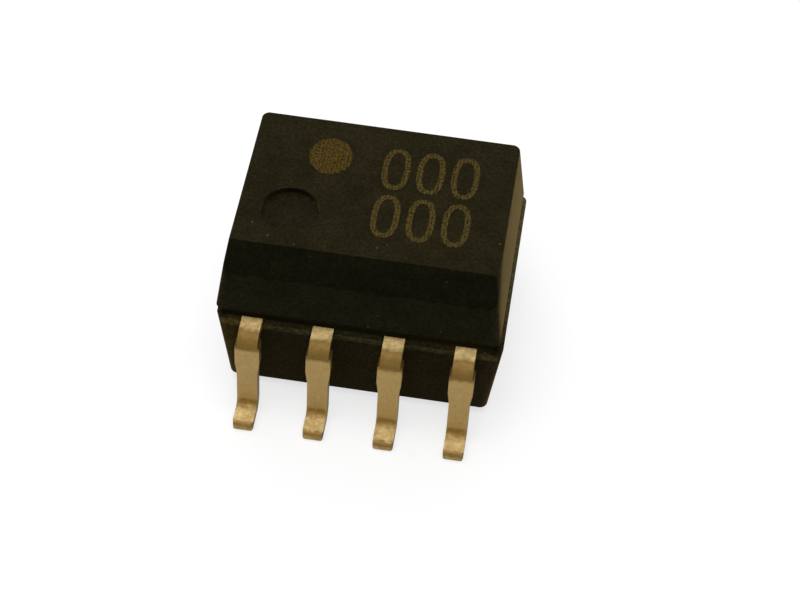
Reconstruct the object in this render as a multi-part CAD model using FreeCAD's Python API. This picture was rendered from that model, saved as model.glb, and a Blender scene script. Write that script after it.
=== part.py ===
import FreeCAD, Part
import math
import os

# Eight lead surface mount optocoupler in a thick moulded body. All sizes are millimetres.
# X runs along the body. Leads 1 to 4 leave the front (-Y) from left to right, and
# leads 5 to 8 leave the back (+Y) from right to left. Z is up, and the origin is the
# centre of the footprint on the soldering plane.

# Moulded body
body_length = 5.05
lower_length = 5.10
body_width = 3.92
body_height = 3.19
standoff = 0.17
upper_draft = 7.2
lower_draft = 6.0
corner_radius = 0.14
edge_round = 0.035
index_chamfer = 0.432

# The two mould halves are slightly out of line, with a groove where they meet
upper_shift_x = -0.04
upper_shift_y = 0.01
lower_shift_x = 0.0
lower_shift_y = -0.02
groove_height = 0.17
groove_depth = 0.045
end_groove_depth = 0.012

# Recess between the leads, where the dam bars were cut away
dam_recess = 0.08
dam_recess_rise = 0.07
dam_recess_from_end = 0.16

# Round moulded index recess beside lead 1
recess_diameter = 1.04
recess_depth = 0.11
recess_from_left = 1.075
recess_from_front = 1.42

# Leads outside the body
pitch = 1.27
lead_thickness = 0.21
lead_width = 0.37
lead_plane = 1.935
lead_span = 5.91
lead_reach = 0.384
foot_length = 0.59
upper_bend = 0.175
lower_bend = 0.205
tip_round = 0.06
tip_roll = 0.07
tip_corner = 0.09
edge_roll = 0.02

# Fine groove that bending leaves across the outer face, where the upper bend ends
crease_radius = 0.03
crease_depth = 0.012

# Dam bar stubs left as shoulders below the upper bend
shoulder_width = 0.44
shoulder_height = 0.42
shoulder_taper = 0.28
shoulder_step = 0.01

# Leads inside the body: the front ones rise and the back ones sink, so that the
# emitters hang face down over the detector
finger_width = 0.40
lock_width = 0.58
lock_length = 0.20
lock_inset = 0.17
joggle = 0.42
joggle_start = 0.47
joggle_run = 0.35
joggle_bend = 0.13
finger_gap = 0.15
wire_pad_width = 0.46
wire_pad_depth = 0.36
emitter_pad_back = 0.40
middle_gap = 0.50
outer_pad_end = 0.10
supply_pad_end = -0.20

# Chips and the clear silicone between them
emitter_size = 0.30
emitter_thickness = 0.15
detector_length = 2.60
detector_inset = 0.19
detector_thickness = 0.23
guide_top_radius = 0.33
guide_waist_radius = 0.30
guide_bottom_radius = 0.36

# Gold bond wires
wire_diameter = 0.03
wire_flats = 8
ball_diameter = 0.075
ball_height = 0.02
wire_loop = 0.13
wire_crook = 0.05
wire_toe = 0.04
contact_inset = 0.08
emitter_contact_offset = 0.08
supply_contact_inset = 0.08
output_contact_offset = 0.18
outer_landing_inset = 0.24
supply_landing = 0.55

# Heights that follow from the sizes above
body_top = standoff + body_height
lead_bottom = lead_plane - lead_thickness
lead_middle = lead_plane - lead_thickness / 2
shoulder_top = lead_bottom - shoulder_step
shoulder_low = shoulder_top - shoulder_height
parting = lead_plane + groove_height
upper_tan = math.tan(math.radians(upper_draft))
lower_tan = math.tan(math.radians(lower_draft))
emitter_frame = lead_middle + joggle
detector_frame = lead_middle - joggle
emitter_pad_underside = emitter_frame - lead_thickness / 2
detector_pad_top = detector_frame + lead_thickness / 2
detector_face = detector_pad_top + detector_thickness
emitter_face = emitter_pad_underside - emitter_thickness

FRONT = -1
BACK = 1


def lead_x(number):
    """Centre of a lead along the body: 1 to 4 on the front, 5 to 8 on the back."""
    if number <= 4:
        return (number - 2.5) * pitch
    return (6.5 - number) * pitch


def lead_side(number):
    """Side of the body that a lead leaves from."""
    return FRONT if number <= 4 else BACK


# Places inside the body that several pieces share
slope_end = body_width / 2 - joggle_start - joggle_run
paddle_back = slope_end - wire_pad_depth - finger_gap
detector_back = paddle_back - detector_inset
outer_pad_edge = -lead_x(1) - wire_pad_width / 2
emitter_pad_outer = outer_pad_edge - finger_gap
channel_x = (emitter_pad_outer + middle_gap / 2) / 2
paddle_left = lead_x(8) + wire_pad_width / 2 + finger_gap
detector_back_contact = detector_back - contact_inset


def rounded_rectangle(length, width, radius, z, shift_x, shift_y):
    """Closed wire of a rectangle with round corners, at height z."""
    a = length / 2 - radius
    b = width / 2 - radius
    edges = []
    corners = [(a, b, 0), (-a, b, 90), (-a, -b, 180), (a, -b, 270)]
    for index, (cx, cy, start) in enumerate(corners):
        centre = FreeCAD.Vector(cx + shift_x, cy + shift_y, z)
        circle = Part.Circle(centre, FreeCAD.Vector(0, 0, 1), radius)
        arc = Part.Arc(circle, math.radians(start), math.radians(start + 90))
        edges.append(arc.toShape())
        nx, ny, next_start = corners[(index + 1) % 4]
        angle = math.radians(next_start)
        begin = edges[-1].Vertexes[-1].Point
        end = FreeCAD.Vector(nx + shift_x + radius * math.cos(angle),
                             ny + shift_y + radius * math.sin(angle), z)
        edges.append(Part.LineSegment(begin, end).toShape())
    return Part.Wire(edges)


def drafted_block(low, high, shift_x, shift_y):
    """Solid between two round cornered outlines. Each is (length, width, height)."""
    wires = []
    for length, width, z in (low, high):
        wires.append(rounded_rectangle(length, width, corner_radius, z, shift_x, shift_y))
    return Part.makeLoft(wires, True, True)


def prism(points, direction):
    """Solid from a closed outline of points, swept along a vector."""
    return Part.Face(Part.makePolygon(points + points[:1])).extrude(direction)


def upper_half():
    """Upper mould half: drafted, with the long index chamfer along the front."""
    draft = (body_top - parting) * upper_tan
    block = drafted_block((body_length, body_width, parting),
                          (body_length - 2 * draft, body_width - 2 * draft, body_top),
                          upper_shift_x, upper_shift_y)
    front_face = -body_width / 2 + upper_shift_y
    front_edge = front_face + (body_top - index_chamfer - parting) * upper_tan
    reach = 1.0
    low = FreeCAD.Vector(-body_length, front_edge - reach, body_top - index_chamfer - reach)
    high = FreeCAD.Vector(-body_length, front_edge + index_chamfer + reach, body_top + reach)
    corner = FreeCAD.Vector(-body_length, low.y, high.z)
    block = block.cut(prism([low, high, corner], FreeCAD.Vector(2 * body_length, 0, 0)))
    rounded = [edge for edge in block.Edges if min(v.Z for v in edge.Vertexes) > body_top - 0.001
               or is_chamfer_foot(edge)]
    return block.makeFillet(edge_round, rounded)


def is_chamfer_foot(edge):
    """True for the long edge between the chamfer and the front face."""
    level = body_top - index_chamfer
    flat = all(abs(vertex.Z - level) < 0.001 for vertex in edge.Vertexes)
    return flat and edge.Length > body_length / 2


def index_recess():
    """Shallow round recess that marks the corner of lead 1."""
    x = recess_from_left - body_length / 2 + upper_shift_x
    y = recess_from_front - body_width / 2 + upper_shift_y
    floor = FreeCAD.Vector(x, y, body_top - recess_depth)
    return Part.makeCylinder(recess_diameter / 2, recess_depth, floor)


def lower_half():
    """Lower mould half: drafted, up to the top of the leads, with the dam recesses."""
    draft = (lead_plane - standoff) * lower_tan
    block = drafted_block((lower_length - 2 * draft, body_width - 2 * draft, standoff),
                          (lower_length, body_width, lead_plane), lower_shift_x, lower_shift_y)
    block = block.makeFillet(edge_round, [edge for edge in block.Edges if is_bottom_edge(edge)])
    return block.cut([dam_bar_recess(side) for side in (FRONT, BACK)])


def is_bottom_edge(edge):
    """True for an edge of the lower half's underside."""
    return all(abs(vertex.Z - standoff) < 0.001 for vertex in edge.Vertexes)


def dam_bar_recess(side):
    """Shallow slot along one side behind the leads' exits, to cut from the lower half."""
    length = lower_length - 2 * dam_recess_from_end
    wall = side * (body_width / 2 - dam_recess) + lower_shift_y
    outer = side * body_width
    floor = lead_bottom + dam_recess_rise
    corner = FreeCAD.Vector(lower_shift_x - length / 2, min(wall, outer), floor)
    return Part.makeBox(length, abs(outer - wall), lead_plane - floor, corner)


def mould_outside():
    """Whole outside of the moulding: both halves and the neck between them."""
    neck_length = body_length - 2 * end_groove_depth
    neck_width = body_width - 2 * groove_depth
    neck = drafted_block((neck_length, neck_width, lead_plane),
                         (neck_length, neck_width, parting), upper_shift_x, upper_shift_y)
    upper = upper_half().cut(index_recess())
    return upper.fuse([neck, lower_half()]).removeSplitter()


def bent_strip(path, bends, side):
    """Profile of a bent strip in the YZ plane. Path points are (distance out, height)."""
    half = lead_thickness / 2

    def point(u, z):
        return FreeCAD.Vector(0, side * u, z)

    lines = {1: [], -1: []}
    for hand in (1, -1):
        start = None
        for index in range(len(path) - 1):
            (u0, z0), (u1, z1) = path[index], path[index + 1]
            length = math.hypot(u1 - u0, z1 - z0)
            du, dz = (u1 - u0) / length, (z1 - z0) / length
            nu, nz = -dz * half * hand, du * half * hand
            if start is None:
                start = (u0 + nu, z0 + nz)
            if index == len(path) - 2:
                lines[hand].append(("line", start, (u1 + nu, z1 + nz)))
                break
            u2, z2 = path[index + 2]
            onward = math.hypot(u2 - u1, z2 - z1)
            eu, ez = (u2 - u1) / onward, (z2 - z1) / onward
            turn = math.atan2(du * ez - dz * eu, du * eu + dz * ez)
            radius = bends[index]
            tangent = radius * math.tan(abs(turn) / 2)
            a = (u1 - du * tangent, z1 - dz * tangent)
            b = (u1 + eu * tangent, z1 + ez * tangent)
            way = 1 if turn > 0 else -1
            centre = (a[0] - dz * radius * way, a[1] + du * radius * way)
            to_corner = math.hypot(u1 - centre[0], z1 - centre[1])
            reach = (radius - way * hand * half) / to_corner
            middle = (centre[0] + (u1 - centre[0]) * reach, centre[1] + (z1 - centre[1]) * reach)
            a_side = (a[0] + nu, a[1] + nz)
            b_side = (b[0] - ez * half * hand, b[1] + eu * half * hand)
            lines[hand].append(("line", start, a_side))
            lines[hand].append(("arc", a_side, middle, b_side))
            start = b_side
    edges = []
    for hand in (1, -1):
        for kind, *ends in lines[hand]:
            corners = [point(*end) for end in ends]
            curve = Part.Arc(*corners) if kind == "arc" else Part.LineSegment(*corners)
            edges.append(curve.toShape())
    for end in (0, -1):
        first = lines[1][end][1 if end == 0 else -1]
        second = lines[-1][end][1 if end == 0 else -1]
        edges.append(Part.LineSegment(point(*first), point(*second)).toShape())
    return Part.Face(Part.Wire(Part.__sortEdges__(edges)))


def blank(stations, side):
    """Flat outline of a stamped finger. Stations are (distance out, left, right)."""
    left = [FreeCAD.Vector(x_left, side * u, 0) for u, x_left, x_right in stations]
    right = [FreeCAD.Vector(x_right, side * u, 0) for u, x_left, x_right in reversed(stations)]
    return prism(left + right, FreeCAD.Vector(0, 0, body_top))


def bend_crease(side):
    """Groove along X at the outer end of the upper bend, to cut from a lead."""
    across = lead_span / 2 - foot_length - body_width / 2 - lead_reach
    fall = lead_middle - lead_thickness / 2
    length = math.hypot(across, fall)
    down = FreeCAD.Vector(0, side * across / length, -fall / length)
    out = FreeCAD.Vector(0, side * fall / length, across / length)
    bend_end = upper_bend * math.tan(math.acos(across / length) / 2)
    corner = FreeCAD.Vector(-body_length, side * (body_width / 2 + lead_reach), lead_middle)
    outward = lead_thickness / 2 + crease_radius - crease_depth
    centre = corner + down * bend_end + out * outward
    return Part.makeCylinder(crease_radius, 2 * body_length, centre, FreeCAD.Vector(1, 0, 0))


def is_tip_edge(edge, height):
    """True for the edge of a foot's tip at a height, straight across the lead."""
    ends = [vertex.Point for vertex in edge.Vertexes]
    return all(abs(p.z - height) < 0.001 and abs(abs(p.y) - lead_span / 2) < 0.001 for p in ends)


def leg_outline(x, side):
    """Front view of a lead outside the body: straight, with the dam bar shoulders."""
    narrow = lead_width / 2
    wide = shoulder_width / 2
    stations = [(0.0, narrow - edge_roll), (edge_roll, narrow),
                (shoulder_low - shoulder_taper, narrow), (shoulder_low, wide),
                (shoulder_top, wide), (lead_bottom, narrow), (body_top, narrow)]
    outer = body_width / 2 - lock_inset
    right = [FreeCAD.Vector(x + half, side * outer, z) for z, half in stations]
    left = [FreeCAD.Vector(x - half, side * outer, z) for z, half in reversed(stations)]
    return prism(right + left, FreeCAD.Vector(0, side * lead_span, 0))


def foot_outline(x, side):
    """Plan of a lead outside the body: as wide as its shoulders, with rounded tip corners."""
    wide = shoulder_width / 2
    narrow = lead_width / 2
    tip = lead_span / 2
    inner = body_width / 2 - lock_inset - lock_length
    outline = [(wide, inner), (wide, tip - tip_corner)]
    for degrees in (0, 22.5, 45, 67.5, 90):
        turn = math.radians(degrees)
        outline.append((narrow - tip_corner * (1 - math.cos(turn)),
                        tip - tip_corner * (1 - math.sin(turn))))
    right = [FreeCAD.Vector(x + half, side * out, 0) for half, out in outline]
    left = [FreeCAD.Vector(x - half, side * out, 0) for half, out in reversed(outline)]
    return prism(right + left, FreeCAD.Vector(0, 0, body_top))


def finger_stations(number):
    """Stations of the finger inside the body, from the wall to its inner end."""
    x = lead_x(number)
    wall = body_width / 2 - lock_inset
    lock_end = wall - lock_length
    narrow = (x - finger_width / 2, x + finger_width / 2)
    lock = (x - lock_width / 2, x + lock_width / 2)
    stations = [(wall, *lock), (lock_end, *lock), (lock_end, *narrow)]
    left, right, end = inner_pad(number)
    stations += [(slope_end, *narrow), (slope_end, left, right), (end, left, right)]
    return stations


def inner_pad(number):
    """Left edge, right edge and inner end of the pad at the end of a finger."""
    x = lead_x(number)
    half = wire_pad_width / 2
    if number in (1, 4):
        return x - half, x + half, outer_pad_end
    if number == 2:
        return -emitter_pad_outer, -middle_gap / 2, -emitter_pad_back
    if number == 3:
        return middle_gap / 2, emitter_pad_outer, -emitter_pad_back
    if number == 8:
        return x - half, x + half, supply_pad_end
    if number == 5:
        return x - half, x + half, 0.0
    return x - half, x + half, paddle_back + finger_gap


def paddle():
    """Flat pad under the detector, part of lead 5."""
    left = paddle_left
    right = lead_x(5) + wire_pad_width / 2
    low = detector_pad_top - lead_thickness
    corner = FreeCAD.Vector(left, -paddle_back, low)
    return Part.makeBox(right - left, 2 * paddle_back, lead_thickness, corner)


def lead(number):
    """One lead in one piece: foot, leg, shoulders, exit, anchor, joggle and inner pad."""
    side = lead_side(number)
    inside = emitter_frame if side == FRONT else detector_frame
    wall = body_width / 2
    foot = lead_thickness / 2
    tip = lead_span / 2
    stations = finger_stations(number)
    inner_end = stations[-1][0]
    path = [(inner_end, inside), (slope_end, inside), (wall - joggle_start, lead_middle),
            (wall + lead_reach, lead_middle), (tip - foot_length, foot), (tip, foot)]
    bends = [joggle_bend, joggle_bend, upper_bend, lower_bend]
    profile = bent_strip(path, bends, side)
    profile.translate(FreeCAD.Vector(-body_length, 0, 0))
    strip = profile.extrude(FreeCAD.Vector(2 * body_length, 0, 0))
    for height, radius in ((0.0, tip_round), (lead_thickness, tip_roll)):
        tip_edges = [edge for edge in strip.Edges if is_tip_edge(edge, height)]
        strip = strip.makeFillet(radius, tip_edges)
    strip = strip.cut(bend_crease(side))
    outside = strip.common(leg_outline(lead_x(number), side))
    outside = outside.common(foot_outline(lead_x(number), side))
    solid = strip.common(blank(stations, side)).fuse(outside)
    if number == 5:
        solid = solid.fuse(paddle())
    return solid.removeSplitter()


def emitter(sign):
    """Light emitting chip, face down under its pad."""
    half = emitter_size / 2
    corner = FreeCAD.Vector(sign * channel_x - half, -half, emitter_face)
    return Part.makeBox(emitter_size, emitter_size, emitter_thickness, corner)


def detector():
    """Two channel detector chip on the paddle."""
    corner = FreeCAD.Vector(-detector_length / 2, -detector_back, detector_pad_top)
    return Part.makeBox(detector_length, 2 * detector_back, detector_thickness, corner)


def light_guide(sign):
    """Clear silicone drop from the emitter pad down to the detector face, slightly waisted."""
    top = FreeCAD.Vector(guide_top_radius, 0, emitter_pad_underside)
    waist = FreeCAD.Vector(guide_waist_radius, 0, (emitter_pad_underside + detector_face) / 2)
    bottom = FreeCAD.Vector(guide_bottom_radius, 0, detector_face)
    axis_low = FreeCAD.Vector(0, 0, detector_face)
    axis_high = FreeCAD.Vector(0, 0, emitter_pad_underside)
    edges = [Part.Arc(top, waist, bottom).toShape(),
             Part.LineSegment(bottom, axis_low).toShape(),
             Part.LineSegment(axis_low, axis_high).toShape(),
             Part.LineSegment(axis_high, top).toShape()]
    solid = Part.Face(Part.Wire(edges)).revolve(FreeCAD.Vector(), FreeCAD.Vector(0, 0, 1), 360)
    solid.translate(FreeCAD.Vector(sign * channel_x, 0, 0))
    return solid


def flat_sided_wire(path):
    """Thin wire along a bent path, with flat sides that are mitred at each bend."""
    level = FreeCAD.Vector(path[-1].x - path[0].x, path[-1].y - path[0].y, 0).normalize()
    side = level.cross(FreeCAD.Vector(0, 0, 1))
    runs = [(end - begin).normalize() for begin, end in zip(path, path[1:])]
    rings = []
    for index, place in enumerate(path):
        before = runs[max(index - 1, 0)]
        after = runs[min(index, len(runs) - 1)]
        along = (before + after).normalize()
        out = side.cross(along) * (wire_diameter / 2 / along.dot(before))
        ring = []
        for corner in range(wire_flats):
            angle = 2 * math.pi * (corner + 0.5) / wire_flats
            offset = side * (wire_diameter / 2 * math.cos(angle)) + out * math.sin(angle)
            ring.append(place + offset)
        rings.append(ring)
    faces = [Part.Face(Part.makePolygon(ring + ring[:1])) for ring in (rings[0], rings[-1])]
    for near, far in zip(rings, rings[1:]):
        for corner in range(wire_flats):
            beside = (corner + 1) % wire_flats
            outline = [near[corner], near[beside], far[beside], far[corner], near[corner]]
            faces.append(Part.Face(Part.makePolygon(outline)))
    solid = Part.Solid(Part.Shell(faces))
    solid.fix(0.0, 0.0, 0.0)
    return solid


def bond_wire(contact, landing, loop):
    """Wire from a ball on a chip up to the loop height, over, and down a slope to a pad.

    A negative loop hangs below the chip, for one that is mounted face down.
    """
    up = FreeCAD.Vector(0, 0, 1 if loop > 0 else -1)
    across = FreeCAD.Vector(landing.x - contact.x, landing.y - contact.y, 0).normalize()
    bond = contact + up * ball_height
    rise = contact + up * (abs(loop) - wire_crook)
    crest = contact + up * abs(loop) + across * wire_crook
    toe = landing + up * wire_toe
    wire = flat_sided_wire([bond, rise, crest, toe, landing])
    ball = Part.makeCylinder(ball_diameter / 2, ball_height, contact, up)
    return wire.fuse(ball).removeSplitter()


def emitter_wire(sign):
    """Wire from the emitter's face out to the pad of the outer front lead."""
    contact = FreeCAD.Vector(sign * (channel_x + emitter_contact_offset), 0, emitter_face)
    landing = FreeCAD.Vector(sign * -lead_x(1), -outer_landing_inset, emitter_pad_underside)
    return bond_wire(contact, landing, -wire_loop)


def detector_wire(number):
    """Wire from the detector's face to the pad of one back lead."""
    edge = detector_length / 2 - supply_contact_inset
    if number in (6, 7):
        sign = 1 if number == 6 else -1
        contact_x = sign * (abs(lead_x(number)) - output_contact_offset)
        landing_y = slope_end - wire_pad_depth / 2
    else:
        contact_x = edge if number == 5 else -edge
        landing_y = supply_landing
    contact = FreeCAD.Vector(contact_x, detector_back_contact, detector_face)
    landing = FreeCAD.Vector(lead_x(number), landing_y, detector_pad_top)
    return bond_wire(contact, landing, wire_loop)


def build():
    """Every piece by name, with what is inside cut out of what surrounds it."""
    pieces = {"lead_%d" % number: lead(number) for number in range(1, 9)}
    pieces["detector_chip"] = detector()
    wires = {}
    for channel, sign in ((1, -1), (2, 1)):
        pieces["emitter_chip_%d" % channel] = emitter(sign)
        wires["emitter_wire_%d" % channel] = emitter_wire(sign)
    names = {5: "ground_wire", 6: "output_wire_2", 7: "output_wire_1", 8: "supply_wire"}
    for number, name in names.items():
        wires[name] = detector_wire(number)
    pieces.update(wires)
    for channel, sign in ((1, -1), (2, 1)):
        guide = light_guide(sign)
        inner = [pieces["emitter_chip_%d" % channel], pieces["emitter_wire_%d" % channel]]
        pieces["light_guide_%d" % channel] = guide.cut(inner)
    pieces["mould_body"] = mould_outside().cut(list(pieces.values()))
    return pieces


def main():
    os.makedirs("parts", exist_ok=True)
    for name, shape in build().items():
        solid = shape.Solids[0] if len(shape.Solids) == 1 else shape
        solid.exportStep("parts/%s.step" % name)
        print("%-16s solids %d valid %s volume %.5f faces %d"
              % (name, len(shape.Solids), shape.isValid(), shape.Volume, len(shape.Faces)))


main()
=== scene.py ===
import math

import bpy
from mathutils import Matrix, Vector


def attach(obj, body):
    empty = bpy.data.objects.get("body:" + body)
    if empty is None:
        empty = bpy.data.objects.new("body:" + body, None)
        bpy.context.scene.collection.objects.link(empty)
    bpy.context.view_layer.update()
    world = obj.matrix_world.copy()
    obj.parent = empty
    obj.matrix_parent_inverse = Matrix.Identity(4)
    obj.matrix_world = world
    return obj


# Looks of the eight lead optocoupler chip. Lengths are in mm in the frame of the solids, and MM
# turns them into the metres of the scene. Tones are factors on a colour, and 1 leaves it alone.
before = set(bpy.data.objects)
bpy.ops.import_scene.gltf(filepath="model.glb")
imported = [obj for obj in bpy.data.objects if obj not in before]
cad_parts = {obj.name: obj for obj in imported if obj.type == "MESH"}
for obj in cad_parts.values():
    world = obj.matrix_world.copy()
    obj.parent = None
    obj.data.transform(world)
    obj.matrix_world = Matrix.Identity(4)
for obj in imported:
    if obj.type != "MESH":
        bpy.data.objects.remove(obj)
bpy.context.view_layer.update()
MM = 0.001

# Camera, fitted to the photo: its place, and the turn of the part's axes to its right, down and
# forward
CAMERA_PLACE = (3.233, -27.080, 31.841)
CAMERA_TURN = (2.414295, 0.198655, -0.017117)
FOCAL_PIXELS = 2232
PICTURE_WIDTH = 800
SENSOR_WIDTH = 36.0
CLIP_START = 1.0
CLIP_END = 10000.0

# Ways that faces of the moulding look, from the draft angle of its upper half
DRAFT = math.radians(7.2)
UP = (0.0, 0.0, 1.0)
CHAMFER_WAY = (0.0, -math.sqrt(0.5), math.sqrt(0.5))
FRONT_WAY = (0.0, -math.cos(DRAFT), math.sin(DRAFT))
END_WAY = (math.cos(DRAFT), 0.0, math.sin(DRAFT))

# Range that most of a noise lies in
NOISE_LOW = 0.3
NOISE_HIGH = 0.7

# Colours of the moulding: stops of its grain and its clouds, and the filler specks, which are
# the middles of a few chosen cells
GRAIN = ((0.36, (0.0070, 0.0059, 0.0027)), (0.64, (0.0190, 0.0158, 0.0066)))
CLOUDS = ((0.35, (0.74, 0.79, 0.76)), (0.65, (1.24, 1.19, 1.12)))
SPECK_PITCH = 0.16
SPECK_MIDDLE = (0.08, 0.18)
SPECK_CHOSEN = (0.94, 0.97)
SPECK_SHARE = 0.85
SPECK_COLOUR = (0.070, 0.058, 0.030)

# Painted shade darkens the chamfer and the upper front against the spark eroded top, and a
# painted reflection makes the right end browner and brighter. Each row is a way, how nearly a
# face looks that way where the tone starts and where it is full, and the tone.
PAINTED_FACE_LIGHT = ((CHAMFER_WAY, 0.90, 0.97, (0.38, 0.46, 0.56)),
              (FRONT_WAY, 0.985, 0.995, (0.58, 0.82, 0.94)),
              (END_WAY, 0.80, 0.99, (1.5, 1.3, 0.7)))

# Painted light and shade on the moulding by height: start, end and tone. The sides are plain low
# down, with a painted highlight on the lip below the cut dam bars, painted shade in the parting
# line, and plain above. The narrow ledge at the ends has a painted highlight where it looks up,
# which fades to the front over a range in y. The tint is added to each tone, and noise moves the
# steps over the reach.
HEIGHT_END = 3.0
HEIGHT_TINT = (0.0, 0.03, 0.04)
HEIGHT_REACH = 0.08
SIDE_PAINTED_LIGHT = ((0.0, 1.7, 1.0), (1.75, 1.8, 3.5), (1.95, 2.1, 0.2), (2.15, 3.0, 1.0))
LEDGE_PAINTED_LIGHT = ((0.0, 1.8, 1.0), (1.9, 2.1, 7.0), (2.2, 3.0, 1.0))
LEDGE_FROM = (2.44, 2.50)
LEDGE_UPWARD = (0.5, 0.8)
LEDGE_FADE = (-1.96, -0.40)
LEDGE_FADED = 0.15

# Painted highlight on the corners low on the front, stronger on the left: limits in x, y and z,
# and tone
CORNER_HIGHLIGHT_LEFT = (-2.3, -2.0)
CORNER_HIGHLIGHT_RIGHT = (2.0, 2.3)
CORNER_HIGHLIGHT_RIGHT_SHARE = 0.25
CORNER_HIGHLIGHT_FRONT = (-1.80, -1.50)
CORNER_HIGHLIGHT_BELOW = (1.95, 2.05)
CORNER_HIGHLIGHT_TONE = (2.7, 2.1, 1.3)

# Worn edges, where the end faces turn round towards the chamfer and the front. Each of those
# two planes has a way and a point (y, z) on it.
WORN_DEPTH = 0.06
WORN_WIDTH = 0.45
WORN_PLANES = ((CHAMFER_WAY, (-1.82, 2.93)), (FRONT_WAY, (-1.96, 2.105)))
UNWORN_UPWARD = (0.75, 0.90)

# Index recess: painted shade darkens its floor against the top face, and its wall most at the
# back right
RECESS_CENTRE = (-1.49, -0.53)
RECESS_RADIUS = 0.52
RECESS_BLEND = 0.02
RECESS_FLOOR_SHADE = (0.80, 0.86, 0.88)
RECESS_WALL_SHADE = (0.30, 0.34, 0.36)
RECESS_WALL_WAY = (-0.45, -0.9, 0.0)
RECESS_WALL_TURN = (0.3, 0.8)

# Colours of the tin plating: stops of its patches on the legs and on the flats, and of the
# drawn lines, which are long in y and z
PATCHES = ((0.34, (0.60, 0.44, 0.185)), (0.66, (0.76, 0.565, 0.245)))
FLAT_PATCHES = ((0.34, (0.48, 0.33, 0.115)), (0.50, (0.67, 0.49, 0.205)),
                (0.64, (0.89, 0.70, 0.36)))
LINES = ((0.30, (0.52, 0.375, 0.15)), (0.70, (0.84, 0.625, 0.28)))
LINE_SHARE = 0.30
LINE_STRETCH = (1.0, 0.30, 0.30)

# Tone of the plating of each form along the outer face of a lead: start and end, by distance out
# less height, and tone. They are the top, upper bend, leg, lower bend, foot, and rolled edge and
# end of the cut tip. The darker tones are partly real stains, at the bends and the cut tip, and
# partly painted shade: the legs darker than the flats, the bends darker still, and the rolled
# edge darkened where it would catch a highlight. Noise moves the steps over the reach.
PLATING_END = 3.0
PLATING_REACH = 0.15
PLATING = ((0.0, 0.2, 1.0), (0.3, 0.75, 0.3), (0.85, 2.1, 0.75), (2.2, 2.3, 0.4),
           (2.4, 2.65, 1.0), (2.7, 2.8, 0.4), (2.85, 3.0, 0.65))

# The darker the plating's tone, from stains and from painted shade alike, the browner it is. Its
# green and blue are the tone times a share, which is a start and a part that grows with the tone.
STAIN_AND_SHADE_GREEN = (0.70, 0.27)
STAIN_AND_SHADE_BLUE = (0.02, 0.92)

# Heights of the parts of a lead: where the foot ends, where the shoulders start and end, and
# where the top starts
FOOT_END = (0.22, 0.40)
SHOULDERS_FROM = (1.0, 1.2)
SHOULDERS_TO = (1.74, 1.78)
TOP_FROM = (1.76, 1.88)

# Painted shade on the cut sides and the tops of the shoulders of the leads
CUT_FACE_SHADE = (0.42, 0.36, 0.28)
CUT_SIDEWAYS = (0.75, 0.97)
CUT_UPWARD = (0.7, 0.9)

# Colours of the pieces inside, and their roughness
SILICON = ((0.2, (0.10, 0.11, 0.14)), (0.8, (0.20, 0.20, 0.24)))
SILICON_ROUGHNESS = 0.18
EMITTER = ((0.2, (0.30, 0.22, 0.16)), (0.8, (0.45, 0.36, 0.28)))
EMITTER_ROUGHNESS = 0.25
SILICONE = ((0.3, (0.80, 0.82, 0.79)), (0.7, (0.92, 0.93, 0.90)))
GOLD = ((0.3, (0.78, 0.52, 0.16)), (0.7, (0.92, 0.68, 0.28)))

# Laser marks: darkest colour, and the palest of the dot and of the figures. They are hatched
# with waves, whose period is that of a wave texture at a scale of 1.
MARK_DARK = (0.014, 0.009, 0.0020)
DOT_PALE = (0.093, 0.058, 0.0120)
FIGURE_PALE = (0.095, 0.068, 0.0195)
HATCH_PITCH = 0.062
HATCH_SHARE = 0.08
WAVE_PERIOD = math.pi / 10

# Plan of the marks on the top face. Each ragged wave of the dot's edge is (depth, count, start).
TOP_Z = 3.36
MARK_HEIGHT = 0.004
DOT_CENTRE = (-1.005, 0.89)
DOT_WIDTH = 0.78
DOT_DEPTH = 0.90
DOT_STEPS = 60
DOT_WAVES = ((0.018, 9, 0.0), (0.014, 17, 1.0))
ROW_PLACES = ((-0.05, 0.27), (-0.07, -0.90))
FIGURES = 3
FIGURE_PITCH = 0.625
FIGURE_WIDTH = 0.50
FIGURE_DEPTH = 1.03
FIGURE_STROKE = 0.105
FIGURE_STEPS = 40
FIGURE_POWER = 0.80

# Edges: widths of their roundings, and the angles that tell flat, smooth and sharp apart
EDGE_WIDTHS = {"lead": 0.015, "mould": 0.012}
EDGE_SEGMENTS = 3
WELD_DISTANCE = 0.00001
FLAT_ANGLE = math.radians(0.3)
SMOOTH_ANGLE = math.radians(30)
SHARP_ANGLE = math.radians(35)

# White paper: stops of its own colour, then the colour and glow that it is seen with
PAPER = ((0.3, (0.71, 0.71, 0.71)), (0.7, (0.73, 0.73, 0.73)))
PAPER_SEEN = (0.36, 0.36, 0.36)
PAPER_GLOW = 0.69
PAPER_HALF = 500.0

# Light: strength of the room, and each lamp's name, place, width and watts
WHITE = (1.0, 1.0, 1.0)
ROOM_STRENGTH = 0.17
LAMP_AIM = (0, 0, 1)
LAMPS = (("light_above", (-6, -14, 88), 80, 0.060),
         ("light_behind", (-10, 62, 62), 90, 0.032))


def add_camera():
    """Camera at the photo's place and angle."""
    turn = Vector(CAMERA_TURN)
    to_view = Matrix.Rotation(turn.length, 3, turn.normalized())
    right = Vector(to_view[0])
    up = -Vector(to_view[1])
    back = -Vector(to_view[2])
    placed = Matrix((right, up, back)).transposed().to_4x4()
    placed.translation = Vector(CAMERA_PLACE) * MM
    data = bpy.data.cameras.new("camera")
    data.sensor_fit = "HORIZONTAL"
    data.sensor_width = SENSOR_WIDTH
    data.lens = SENSOR_WIDTH * FOCAL_PIXELS / PICTURE_WIDTH
    data.clip_start = CLIP_START * MM
    data.clip_end = CLIP_END * MM
    camera = bpy.data.objects.new("camera", data)
    camera.matrix_world = placed
    bpy.context.scene.collection.objects.link(camera)
    bpy.context.scene.camera = camera


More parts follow.
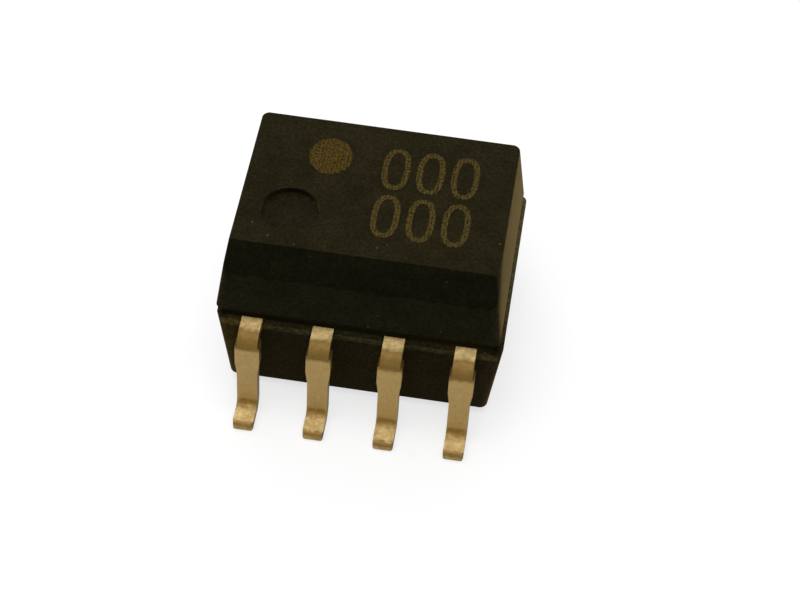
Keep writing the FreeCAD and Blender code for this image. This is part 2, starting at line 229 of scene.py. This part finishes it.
def new_material(name):
    """New node material, with its node tree and its shader."""
    material = bpy.data.materials.new(name)
    material.use_nodes = True
    tree = material.node_tree
    return material, tree, tree.nodes["Principled BSDF"]


def set_input(tree, socket, value):
    """Link an output to a socket, or set the socket's own value."""
    if isinstance(value, bpy.types.NodeSocket):
        tree.links.new(value, socket)
    elif socket.type == "RGBA":
        socket.default_value = (*value, 1.0)
    else:
        socket.default_value = value


def set_inputs(tree, node, values):
    """Set inputs of a node by name. Each is an output, a number or a plain colour."""
    for name, value in values.items():
        set_input(tree, node.inputs[name], value)


def object_place(tree):
    """Place on the object, as a vector in metres."""
    return tree.nodes.new("ShaderNodeTexCoord").outputs["Object"]


def object_normal(tree):
    """Way that the surface faces on the object."""
    return tree.nodes.new("ShaderNodeTexCoord").outputs["Normal"]


def split(tree, vector):
    """The X, Y and Z parts of a vector."""
    node = tree.nodes.new("ShaderNodeSeparateXYZ")
    tree.links.new(vector, node.inputs["Vector"])
    return node.outputs["X"], node.outputs["Y"], node.outputs["Z"]


def noise(tree, place, size_mm, detail=2.0, rough=0.5):
    """Noise whose features are about size_mm across."""
    node = tree.nodes.new("ShaderNodeTexNoise")
    set_inputs(tree, node, {"Vector": place, "Scale": 1.0 / (size_mm * MM), "Detail": detail,
                            "Roughness": rough})
    return node.outputs["Fac"]


def cells(tree, place, size_mm, metric="EUCLIDEAN"):
    """Cells about size_mm across: distance from the cell's point, and a value per cell."""
    node = tree.nodes.new("ShaderNodeTexVoronoi")
    node.distance = metric
    set_inputs(tree, node, {"Vector": place, "Scale": 1.0 / (size_mm * MM)})
    return node.outputs["Distance"], split(tree, node.outputs["Color"])[0]


def ramp(tree, value, stops):
    """Colour ramp. Each stop is (position, colour)."""
    node = tree.nodes.new("ShaderNodeValToRGB")
    elements = node.color_ramp.elements
    while len(elements) < len(stops):
        elements.new(0.5)
    for element, (position, colour) in zip(elements, stops):
        element.position = position
        element.color = (*colour, 1.0)
    tree.links.new(value, node.inputs["Fac"])
    return node.outputs["Color"]


def mapped(tree, value, low, high, to_low=0.0, to_high=1.0):
    """Value moved from one range to another, held at the ends."""
    node = tree.nodes.new("ShaderNodeMapRange")
    set_inputs(tree, node, {"Value": value, "From Min": low, "From Max": high, "To Min": to_low,
                            "To Max": to_high})
    return node.outputs["Result"]


def mapped_mm(tree, length, low, high, to_low=0.0, to_high=1.0):
    """Length in metres moved to another range from a range in mm, held at the ends."""
    return mapped(tree, length, low * MM, high * MM, to_low, to_high)


def roughness(tree, texture, low, high):
    """Roughness between two values that follows a noise."""
    return mapped(tree, texture, NOISE_LOW, NOISE_HIGH, low, high)


def calculate(tree, operation, first, second=0.0):
    """Result of a sum on two values. Each is an output or a number."""
    node = tree.nodes.new("ShaderNodeMath")
    node.operation = operation
    set_input(tree, node.inputs[0], first)
    set_input(tree, node.inputs[1], second)
    return node.outputs["Value"]


def product(tree, *values):
    """Product of two or more values. Each is an output or a number."""
    result = values[0]
    for value in values[1:]:
        result = calculate(tree, "MULTIPLY", result, value)
    return result


def vector_sum(tree, operation, *vectors):
    """Node for a sum on vectors. Each is an output or a plain vector."""
    node = tree.nodes.new("ShaderNodeVectorMath")
    node.operation = operation
    for socket, vector in zip(node.inputs, vectors):
        set_input(tree, socket, vector)
    return node


def facing(tree, way, low, high):
    """Share that grows from 0 to 1 as the surface turns to face a way on the object."""
    nearness = vector_sum(tree, "DOT_PRODUCT", object_normal(tree), way).outputs["Value"]
    return mapped(tree, nearness, low, high)


def ragged_share(tree, length, end_mm, reach_mm):
    """Length as a share of end_mm, moved by noise over reach_mm so that its steps are ragged."""
    wander = noise(tree, object_place(tree), 0.10, detail=3.0, rough=0.6)
    moved = mapped(tree, wander, 0.0, 1.0, -reach_mm * MM / 2, reach_mm * MM / 2)
    return mapped_mm(tree, calculate(tree, "ADD", length, moved), 0.0, end_mm)


def mix(tree, share, first, second, blend="MIX"):
    """Mix of two colours. Each is an output or a plain colour."""
    node = tree.nodes.new("ShaderNodeMix")
    node.data_type = "RGBA"
    node.blend_type = blend
    set_inputs(tree, node, {"Factor": share, "A": first, "B": second})
    return node.outputs["Result"]


def toned(tree, colour, tone, share=1.0):
    """Colour times a tone, to a share."""
    return mix(tree, share, colour, tone, "MULTIPLY")


def bump(tree, shader, heights):
    """Chain of bumps. Each is (height output, distance in mm, strength)."""
    last = None
    for height, distance_mm, strength in heights:
        node = tree.nodes.new("ShaderNodeBump")
        set_inputs(tree, node, {"Height": height, "Distance": distance_mm * MM,
                                "Strength": strength})
        if last is not None:
            tree.links.new(last, node.inputs["Normal"])
        last = node.outputs["Normal"]
    tree.links.new(last, shader.inputs["Normal"])


def mould_material():
    """Matt black epoxy: fine grain, faint brown clouds and sparse pale filler specks."""
    material, tree, shader = new_material("mould_compound")
    place = object_place(tree)
    grain = noise(tree, place, 0.060, detail=3.0, rough=0.6)
    clouds = noise(tree, place, 0.40, detail=4.0, rough=0.6)
    colour = toned(tree, ramp(tree, grain, GRAIN), ramp(tree, clouds, CLOUDS))
    distance, choice = cells(tree, place, SPECK_PITCH)
    specks = product(tree, mapped(tree, distance, *SPECK_MIDDLE, 1.0, 0.0),
                     mapped(tree, choice, *SPECK_CHOSEN, 0.0, SPECK_SHARE))
    colour = mix(tree, specks, colour, SPECK_COLOUR)
    # Painted shade on the chamfer and upper front, and a painted reflection on the right end
    for way, low, high, tone in PAINTED_FACE_LIGHT:
        colour = toned(tree, colour, tone, facing(tree, way, low, high))
    # Painted light and shade by height, and painted shade in the index recess
    for tone in (painted_light_by_height(tree), recess_shade_tone(tree)):
        colour = toned(tree, colour, tone)
    set_inputs(tree, shader, {
        "Base Color": colour, "Roughness": roughness(tree, grain, 0.72, 0.88),
        "Specular IOR Level": 0.032, "Specular Tint": (1.0, 0.80, 0.42),
        "Sheen Weight": 0.18, "Sheen Roughness": 0.38, "Sheen Tint": (1.0, 0.70, 0.22)})
    bump(tree, shader, [(worn_edge(tree), WORN_DEPTH, 1.0),
                        (noise(tree, place, 0.045, rough=0.6), 0.008, 0.7),
                        (noise(tree, place, 0.10), 0.010, 0.6)])
    return material


def painted_light_by_height(tree):
    """Painted shade in the parting line, painted highlights on the lip, end ledges and corners.
    """
    x, y, z = split(tree, object_place(tree))
    height = ragged_share(tree, z, HEIGHT_END, HEIGHT_REACH)
    sides, ledge = (ramp(tree, height, [(place / HEIGHT_END, [tone + add for add in HEIGHT_TINT])
                                        for *places, tone in table for place in places])
                    for table in (SIDE_PAINTED_LIGHT, LEDGE_PAINTED_LIGHT))
    # Painted highlight on the end ledges where they look up, fading to the front
    ledge = toned(tree, ledge, mapped_mm(tree, y, *LEDGE_FADE, LEDGE_FADED))
    ledge = mix(tree, facing(tree, UP, *LEDGE_UPWARD), WHITE, ledge)
    # Painted highlight on the low front corners, stronger on the left
    corner_highlight = calculate(tree, "MAXIMUM", mapped_mm(tree, x, *CORNER_HIGHLIGHT_LEFT, 1.0, 0.0),
                        mapped_mm(tree, x, *CORNER_HIGHLIGHT_RIGHT, 0.0, CORNER_HIGHLIGHT_RIGHT_SHARE))
    corner_highlight = product(tree, corner_highlight, mapped_mm(tree, z, *CORNER_HIGHLIGHT_BELOW, 1.0, 0.0),
                      mapped_mm(tree, y, *CORNER_HIGHLIGHT_FRONT, 1.0, 0.0))
    sides = toned(tree, sides, CORNER_HIGHLIGHT_TONE, corner_highlight)
    at_end = mapped_mm(tree, calculate(tree, "ABSOLUTE", x), *LEDGE_FROM)
    return mix(tree, at_end, sides, ledge)


def recess_shade_tone(tree):
    """Painted shade in the index recess: darker floor, darkest on the wall at the back and right.
    """
    to_centre = tuple(-part * MM for part in RECESS_CENTRE) + (0.0,)
    plan = vector_sum(tree, "MULTIPLY_ADD", object_place(tree), (1.0, 1.0, 0.0), to_centre)
    reach = vector_sum(tree, "LENGTH", plan.outputs["Vector"]).outputs["Value"]
    inside = mapped_mm(tree, reach, RECESS_RADIUS, RECESS_RADIUS + RECESS_BLEND, 1.0, 0.0)
    wall = facing(tree, RECESS_WALL_WAY, *RECESS_WALL_TURN)
    shade = mix(tree, wall, RECESS_FLOOR_SHADE, RECESS_WALL_SHADE)
    return mix(tree, inside, WHITE, shade)


def worn_edge(tree):
    """Height that falls away on the end faces towards the chamfer and the front."""
    y, z = split(tree, object_place(tree))[1:]
    depths = []
    for way, (foot_y, foot_z) in WORN_PLANES:
        plane = (way[1] * foot_y + way[2] * foot_z) * MM
        outward = calculate(tree, "ADD", product(tree, y, way[1]), product(tree, z, way[2]))
        depths.append(calculate(tree, "SUBTRACT", plane, outward))
    inward = calculate(tree, "MINIMUM", *depths)
    fall = calculate(tree, "POWER", mapped_mm(tree, inward, 0.0, WORN_WIDTH, 1.0, 0.0), 2.0)
    kept = product(tree, fall, facing(tree, UP, *UNWORN_UPWARD))
    return calculate(tree, "SUBTRACT", kept, fall)


def mark_material(name, pale):
    """Laser mark: the burnt skin of the epoxy, paler and rougher than the rest."""
    material, tree, shader = new_material(name)
    place = object_place(tree)
    hatch = tree.nodes.new("ShaderNodeTexWave")
    set_inputs(tree, hatch, {"Vector": place, "Scale": WAVE_PERIOD / (HATCH_PITCH * MM),
                             "Distortion": 2.5, "Detail": 2.0})
    burn = mix(tree, HATCH_SHARE, noise(tree, place, 0.042, rough=0.7), hatch.outputs["Color"])
    set_inputs(tree, shader, {
        "Base Color": ramp(tree, burn, ((0.36, MARK_DARK), (0.64, pale))), "Roughness": 0.75,
        "Specular IOR Level": 0.04, "Specular Tint": (1.0, 0.80, 0.45)})
    bump(tree, shader, [(burn, 0.004, 0.5)])
    return material


def lead_material():
    """Dull warm tin plating: drawn lines, small pits, and stains and painted shade at the bends.
    """
    material, tree, shader = new_material("lead_plating")
    place = object_place(tree)
    stretch = tree.nodes.new("ShaderNodeMapping")
    set_inputs(tree, stretch, {"Vector": place, "Scale": LINE_STRETCH})
    lines = noise(tree, stretch.outputs["Vector"], 0.035, detail=3.0, rough=0.6)
    patches = noise(tree, place, 0.13, detail=4.0, rough=0.65)
    colour = mix(tree, flats_share(tree), ramp(tree, patches, PATCHES),
                 ramp(tree, patches, FLAT_PATCHES))
    colour = mix(tree, LINE_SHARE, colour, ramp(tree, lines, LINES))
    # Stains and painted shade along the lead: darker legs and bends, brighter flats
    colour = toned(tree, colour, plating_stain_and_shade(tree))
    # Painted shade on the cut sides and shoulder tops
    colour = toned(tree, colour, CUT_FACE_SHADE, cut_share(tree))
    set_inputs(tree, shader, {
        "Base Color": colour, "Roughness": roughness(tree, patches, 0.46, 0.62),
        "Metallic": 0.25, "Specular IOR Level": 0.30})
    bump(tree, shader, [(lines, 0.003, 0.6), (patches, 0.014, 0.6)])
    return material


def plating_stain_and_shade(tree):
    """Stains and painted shade at the bends and cut tip, and painted shade on the legs."""
    y, z = split(tree, object_place(tree))[1:]
    along = calculate(tree, "SUBTRACT", calculate(tree, "ABSOLUTE", y), z)
    stops = []
    for *places, tone in PLATING:
        green, blue = (tone * (start + grow * tone) for start, grow in (STAIN_AND_SHADE_GREEN, STAIN_AND_SHADE_BLUE))
        stops += [(place / PLATING_END, (tone, green, blue)) for place in places]
    return ramp(tree, ragged_share(tree, along, PLATING_END, PLATING_REACH), stops)


def cut_share(tree):
    """Share that is 1 on the cut faces of a lead: its sides and the tops of its shoulders."""
    sideways = calculate(tree, "ABSOLUTE", split(tree, object_normal(tree))[0])
    height = split(tree, object_place(tree))[2]
    shoulders = product(tree, facing(tree, UP, *CUT_UPWARD),
                        mapped_mm(tree, height, *SHOULDERS_TO, 1.0, 0.0),
                        mapped_mm(tree, height, *SHOULDERS_FROM))
    return calculate(tree, "MAXIMUM", mapped(tree, sideways, *CUT_SIDEWAYS), shoulders)


def flats_share(tree):
    """Share that is 1 on the top of a lead and on its foot, where the plating is patchy."""
    height = split(tree, object_place(tree))[2]
    return calculate(tree, "MAXIMUM", mapped_mm(tree, height, *TOP_FROM),
                     mapped_mm(tree, height, *FOOT_END, 1.0, 0.0))


def die_material(name, stops, roughness):
    """Polished semiconductor die with faint circuit like variation."""
    material, tree, shader = new_material(name)
    place = object_place(tree)
    spread = cells(tree, place, 0.09, "CHEBYCHEV")[1]
    set_inputs(tree, shader, {"Base Color": ramp(tree, spread, stops), "Metallic": 0.6,
                              "Roughness": roughness})
    bump(tree, shader, [(noise(tree, place, 0.02), 0.001, 0.2)])
    return material


def silicone_material():
    """Clear soft silicone, faintly clouded."""
    material, tree, shader = new_material("clear_silicone")
    haze = noise(tree, object_place(tree), 0.12)
    set_inputs(tree, shader, {
        "Base Color": ramp(tree, haze, SILICONE), "Roughness": roughness(tree, haze, 0.05, 0.16),
        "Transmission Weight": 1.0, "IOR": 1.41})
    return material


def gold_material():
    """Drawn gold wire."""
    material, tree, shader = new_material("gold_wire")
    drawn = noise(tree, object_place(tree), 0.02)
    set_inputs(tree, shader, {
        "Base Color": ramp(tree, drawn, GOLD), "Roughness": roughness(tree, drawn, 0.18, 0.30),
        "Metallic": 1.0})
    return material


def plate(name, outlines, material):
    """Thin plate on the top face from closed outlines. Each outline is (x, y) points."""
    verts = []
    faces = []
    for outline in outlines:
        start = len(verts)
        count = len(outline)
        verts += [(x * MM, y * MM, TOP_Z * MM) for x, y in outline]
        verts += [(x * MM, y * MM, (TOP_Z + MARK_HEIGHT) * MM) for x, y in outline]
        faces.append([start + count + i for i in range(count)])
        for i in range(count):
            beside = (i + 1) % count
            faces.append([start + i, start + beside, start + count + beside, start + count + i])
    mesh = bpy.data.meshes.new(name)
    mesh.from_pydata(verts, [], faces)
    mesh.materials.append(material)
    piece = bpy.data.objects.new(name, mesh)
    bpy.context.scene.collection.objects.link(piece)
    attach(piece, "root")


def add_dot():
    """Round laser dot with a slightly ragged edge."""
    outline = []
    for step in range(DOT_STEPS):
        angle = 2 * math.pi * step / DOT_STEPS
        ragged = 1 + sum(depth * math.sin(count * angle + start)
                         for depth, count, start in DOT_WAVES)
        outline.append((DOT_CENTRE[0] + ragged * math.cos(angle) * DOT_WIDTH / 2,
                        DOT_CENTRE[1] + ragged * math.sin(angle) * DOT_DEPTH / 2))
    plate("index_dot", [outline], mark_material("laser_dot", DOT_PALE))


def zero_outline(left, base, inset):
    """Points round a plain zero, inset from its outer edge. It is squarer than an ellipse."""
    points = []
    width = FIGURE_WIDTH / 2 - inset
    depth = FIGURE_DEPTH / 2 - inset
    for step in range(FIGURE_STEPS):
        angle = 2 * math.pi * step / FIGURE_STEPS
        c = math.cos(angle)
        s = math.sin(angle)
        x = math.copysign(abs(c) ** FIGURE_POWER, c) * width
        y = math.copysign(abs(s) ** FIGURE_POWER, s) * depth
        points.append((left + FIGURE_WIDTH / 2 + x, base + FIGURE_DEPTH / 2 + y))
    return points


def add_zeros():
    """Two rows of plain zeros where the real chip has its laser characters."""
    material = mark_material("laser_figures", FIGURE_PALE)
    for row, (start, base) in enumerate(ROW_PLACES):
        for column in range(FIGURES):
            left = start + column * FIGURE_PITCH
            outer = zero_outline(left, base, 0.0)
            inner = zero_outline(left, base, FIGURE_STROKE)
            pieces = []
            for i in range(FIGURE_STEPS):
                j = (i + 1) % FIGURE_STEPS
                pieces.append([outer[i], outer[j], inner[j], inner[i]])
            plate("zero_%d_%d" % (row + 1, column + 1), pieces, material)


def smooth_group():
    """Geometry nodes that shade a mesh smooth, apart from its edges over SMOOTH_ANGLE."""
    group = bpy.data.node_groups.new("smooth_shading", "GeometryNodeTree")
    for way in ("INPUT", "OUTPUT"):
        group.interface.new_socket("Geometry", in_out=way, socket_type="NodeSocketGeometry")
    entry = group.nodes.new("NodeGroupInput")
    leave = group.nodes.new("NodeGroupOutput")
    angle = group.nodes.new("GeometryNodeInputMeshEdgeAngle")
    gentle = group.nodes.new("FunctionNodeCompare")
    gentle.operation = "LESS_THAN"
    gentle.inputs["B"].default_value = SMOOTH_ANGLE
    faces = group.nodes.new("GeometryNodeSetShadeSmooth")
    edges = group.nodes.new("GeometryNodeSetShadeSmooth")
    edges.domain = "EDGE"
    group.links.new(angle.outputs["Unsigned Angle"], gentle.inputs["A"])
    group.links.new(entry.outputs["Geometry"], faces.inputs["Geometry"])
    group.links.new(faces.outputs["Geometry"], edges.inputs["Geometry"])
    group.links.new(gentle.outputs["Result"], edges.inputs["Shade Smooth"])
    group.links.new(edges.outputs["Geometry"], leave.inputs["Geometry"])
    return group


def soften_edges(node, width_mm, smooth_shading):
    """Modifiers that merge the mesh, round its edges a little and shade it smooth."""
    weld = node.modifiers.new("weld", "WELD")
    weld.merge_threshold = WELD_DISTANCE * MM
    flat = node.modifiers.new("flat", "DECIMATE")
    flat.decimate_type = "DISSOLVE"
    flat.angle_limit = FLAT_ANGLE
    round_edges = node.modifiers.new("round_edges", "BEVEL")
    round_edges.width = width_mm * MM
    round_edges.segments = EDGE_SEGMENTS
    round_edges.limit_method = "ANGLE"
    round_edges.angle_limit = SHARP_ANGLE
    smooth = node.modifiers.new("smooth", "NODES")
    smooth.node_group = smooth_shading


def dress_nodes():
    """Material of every solid, and softer edges on the moulding and the leads."""
    looks = {"lead": lead_material(), "mould": mould_material(), "light": silicone_material(),
             "detector": die_material("silicon", SILICON, SILICON_ROUGHNESS),
             "emitter_chip": die_material("emitter", EMITTER, EMITTER_ROUGHNESS),
             "wire": gold_material()}
    smooth_shading = smooth_group()
    for name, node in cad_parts.items():
        kind = next(key for key in looks if key in name)
        node.data.materials.clear()
        node.data.materials.append(looks[kind])
        if kind in EDGE_WIDTHS:
            soften_edges(node, EDGE_WIDTHS[kind], smooth_shading)


def background_rays(tree):
    """Share of rays that see the background: from the camera, and through gloss or glass."""
    path = tree.nodes.new("ShaderNodeLightPath")
    seen = path.outputs["Is Camera Ray"]
    for kind in ("Is Glossy Ray", "Is Transmission Ray"):
        seen = calculate(tree, "MAXIMUM", seen, path.outputs[kind])
    return seen


def add_floor():
    """Plain white paper under the feet. Part of its white is its own, so the shadow is soft."""
    material, tree, shader = new_material("floor")
    seen = background_rays(tree)
    plain = ramp(tree, noise(tree, object_place(tree), 3.0), PAPER)
    set_inputs(tree, shader, {
        "Base Color": mix(tree, seen, plain, PAPER_SEEN), "Roughness": 0.9,
        "Specular IOR Level": 0.0, "Emission Color": WHITE,
        "Emission Strength": mapped(tree, seen, 0.0, 1.0, 0.0, PAPER_GLOW)})
    half = PAPER_HALF * MM
    mesh = bpy.data.meshes.new("floor")
    mesh.from_pydata([(-half, -half, 0), (half, -half, 0), (half, half, 0), (-half, half, 0)], [],
                     [(0, 1, 2, 3)])
    mesh.materials.append(material)
    floor = bpy.data.objects.new("floor", mesh)
    bpy.context.scene.collection.objects.link(floor)


def add_lamp(name, place_mm, width_mm, watts):
    """Soft square lamp that faces the chip."""
    data = bpy.data.lights.new(name, "AREA")
    data.shape = "SQUARE"
    data.size = width_mm * MM
    data.energy = watts
    lamp = bpy.data.objects.new(name, data)
    place = Vector(place_mm) * MM
    aim = Vector(LAMP_AIM) * MM
    turned = (aim - place).to_track_quat("-Z", "Y").to_matrix().to_4x4()
    turned.translation = place
    lamp.matrix_world = turned
    bpy.context.scene.collection.objects.link(lamp)


def add_light():
    """Soft studio light: a dim room, one large soft lamp above and a weaker one behind."""
    world = bpy.data.worlds.new("room")
    world.use_nodes = True
    tree = world.node_tree
    strength = mapped(tree, background_rays(tree), 0.0, 1.0, ROOM_STRENGTH, 1.0)
    set_inputs(tree, tree.nodes["Background"], {"Color": WHITE, "Strength": strength})
    bpy.context.scene.world = world
    for lamp in LAMPS:
        add_lamp(*lamp)


add_camera()
dress_nodes()
add_dot()
add_zeros()
add_floor()
add_light()
bpy.context.scene.view_settings.view_transform = "Standard"
